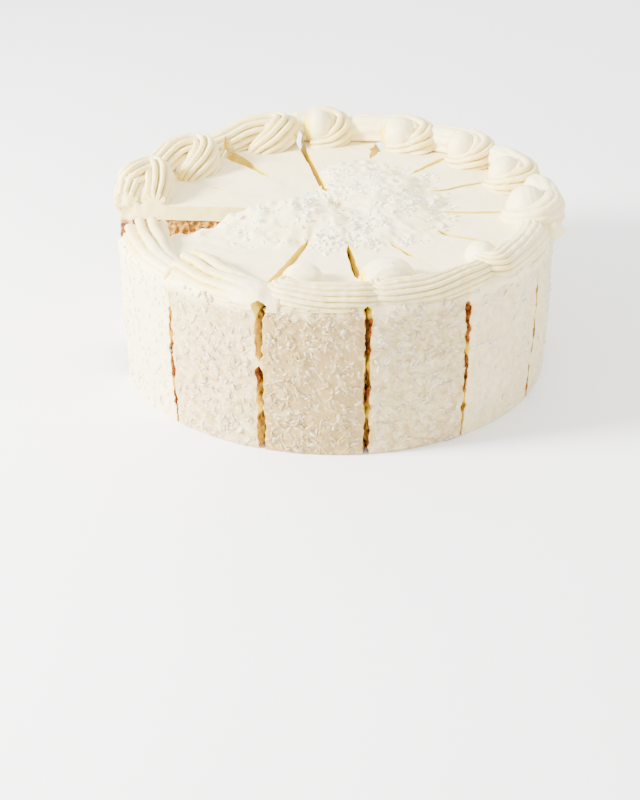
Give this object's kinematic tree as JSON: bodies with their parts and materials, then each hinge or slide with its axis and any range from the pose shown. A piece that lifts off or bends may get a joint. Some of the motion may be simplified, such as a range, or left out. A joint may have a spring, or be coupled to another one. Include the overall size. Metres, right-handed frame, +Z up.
{
  "type": "italian cream cake",
  "caption": "Round layer cake coated in cream and coconut, cut into slices with one taken out, with a piped scroll border.",
  "frame": {"origin": "under the middle of the cake's box, at its underside; the cake's axis stands 3.0 mm nearer the front and 0.7 mm to the left", "axes": "+Z up along the cake's axis; -Y towards the front, the side the picture looks at; the missing slice is at -X"},
  "size_m": [0.2659, 0.2656, 0.1114],
  "materials": {
    "sponge": "open tan cake crumb with darker nut specks and a golden-brown crust",
    "cream": "soft warm-white cream cheese icing with shredded coconut pressed into it",
    "coconut": "thin matt white shreds of coconut"
  },
  "bodies": {
    "root": {"slice_01_sponge_bottom": "sponge", "slice_01_sponge_middle": "sponge", "slice_01_sponge_top": "sponge", "slice_01_cream": "cream", "slice_02_sponge_bottom": "sponge", "slice_02_sponge_middle": "sponge", "slice_02_sponge_top": "sponge", "slice_02_cream": "cream", "slice_03_sponge_bottom": "sponge", "slice_03_sponge_middle": "sponge", "slice_03_sponge_top": "sponge", "slice_03_cream": "cream", "slice_04_sponge_bottom": "sponge", "slice_04_sponge_middle": "sponge", "slice_04_sponge_top": "sponge", "slice_04_cream": "cream", "slice_05_sponge_bottom": "sponge", "slice_05_sponge_middle": "sponge", "slice_05_sponge_top": "sponge", "slice_05_cream": "cream", "slice_06_sponge_bottom": "sponge", "slice_06_sponge_middle": "sponge", "slice_06_sponge_top": "sponge", "slice_06_cream": "cream", "slice_07_sponge_bottom": "sponge", "slice_07_sponge_middle": "sponge", "slice_07_sponge_top": "sponge", "slice_07_cream": "cream", "slice_08_sponge_bottom": "sponge", "slice_08_sponge_middle": "sponge", "slice_08_sponge_top": "sponge", "slice_08_cream": "cream", "slice_09_sponge_bottom": "sponge", "slice_09_sponge_middle": "sponge", "slice_09_sponge_top": "sponge", "slice_09_cream": "cream", "slice_10_sponge_bottom": "sponge", "slice_10_sponge_middle": "sponge", "slice_10_sponge_top": "sponge", "slice_10_cream": "cream", "slice_11_sponge_bottom": "sponge", "slice_11_sponge_middle": "sponge", "slice_11_sponge_top": "sponge", "slice_11_cream": "cream", "slice_12_sponge_bottom": "sponge", "slice_12_sponge_middle": "sponge", "slice_12_sponge_top": "sponge", "slice_12_cream": "cream", "slice_13_sponge_bottom": "sponge", "slice_13_sponge_middle": "sponge", "slice_13_sponge_top": "sponge", "slice_13_cream": "cream"}
  },
  "joints": []
}
